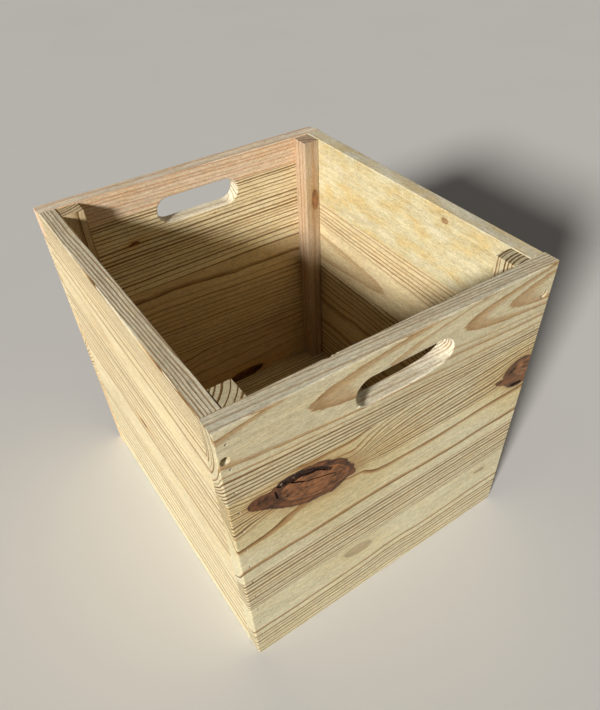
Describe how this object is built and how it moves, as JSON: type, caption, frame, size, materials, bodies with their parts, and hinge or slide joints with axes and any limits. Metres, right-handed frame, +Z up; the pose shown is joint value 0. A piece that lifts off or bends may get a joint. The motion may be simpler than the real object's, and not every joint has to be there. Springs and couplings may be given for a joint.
{
  "type": "open pine box with hand slots",
  "caption": "Open-topped pine box of edge-glued boards with hand slots in its front and back, corner posts and a solid bottom.",
  "frame": {"origin": "under the middle of the box, on its lower face", "axes": "+Z up, +X to the right seen from the front, front (a slotted panel) at -Y, +Y to the back"},
  "size_m": [0.35, 0.389, 0.356],
  "materials": {
    "pine_front": "satin",
    "pine_back": "satin",
    "pine_left": "satin",
    "pine_right": "satin",
    "pine_bottom": "satin",
    "pine_post": "satin",
    "screw_zinc": "satin",
    "brad_steel": "satin"
  },
  "bodies": {
    "root": {"back_board_bottom": "pine_back", "back_board_lower": "pine_back", "back_board_top": "pine_back", "back_board_upper": "pine_back", "back_brad_left_01": "brad_steel", "back_brad_left_02": "brad_steel", "back_brad_left_03": "brad_steel", "back_brad_left_04": "brad_steel", "back_brad_left_05": "brad_steel", "back_brad_left_06": "brad_steel", "back_brad_right_01": "brad_steel", "back_brad_right_02": "brad_steel", "back_brad_right_03": "brad_steel", "back_brad_right_04": "brad_steel", "back_brad_right_05": "brad_steel", "back_brad_right_06": "brad_steel", "back_screw_left": "screw_zinc", "back_screw_right": "screw_zinc", "bottom_board_back": "pine_bottom", "bottom_board_front": "pine_bottom", "bottom_board_middle": "pine_bottom", "front_board_bottom": "pine_front", "front_board_middle": "pine_front", "front_board_top": "pine_front", "front_brad_left_01": "brad_steel", "front_brad_left_02": "brad_steel", "front_brad_left_03": "brad_steel", "front_brad_left_04": "brad_steel", "front_brad_left_05": "brad_steel", "front_brad_left_06": "brad_steel", "front_brad_left_07": "brad_steel", "front_brad_left_08": "brad_steel", "front_brad_left_09": "brad_steel", "front_brad_left_10": "brad_steel", "front_brad_left_11": "brad_steel", "front_brad_left_12": "brad_steel", "front_brad_right_01": "brad_steel", "front_brad_right_02": "brad_steel", "front_brad_right_03": "brad_steel", "front_brad_right_04": "brad_steel", "front_brad_right_05": "brad_steel", "front_brad_right_06": "brad_steel", "front_brad_right_07": "brad_steel", "front_brad_right_08": "brad_steel", "front_brad_right_09": "brad_steel", "front_brad_right_10": "brad_steel", "front_brad_right_11": "brad_steel", "front_brad_right_12": "brad_steel", "front_screw_left": "screw_zinc", "front_screw_right": "screw_zinc", "left_board_bottom": "pine_left", "left_board_middle": "pine_left", "left_board_top": "pine_left", "post_back_left": "pine_post", "post_back_right": "pine_post", "post_front_left": "pine_post", "post_front_right": "pine_post", "right_board_bottom": "pine_right", "right_board_middle": "pine_right", "right_board_top": "pine_right"}
  },
  "joints": []
}
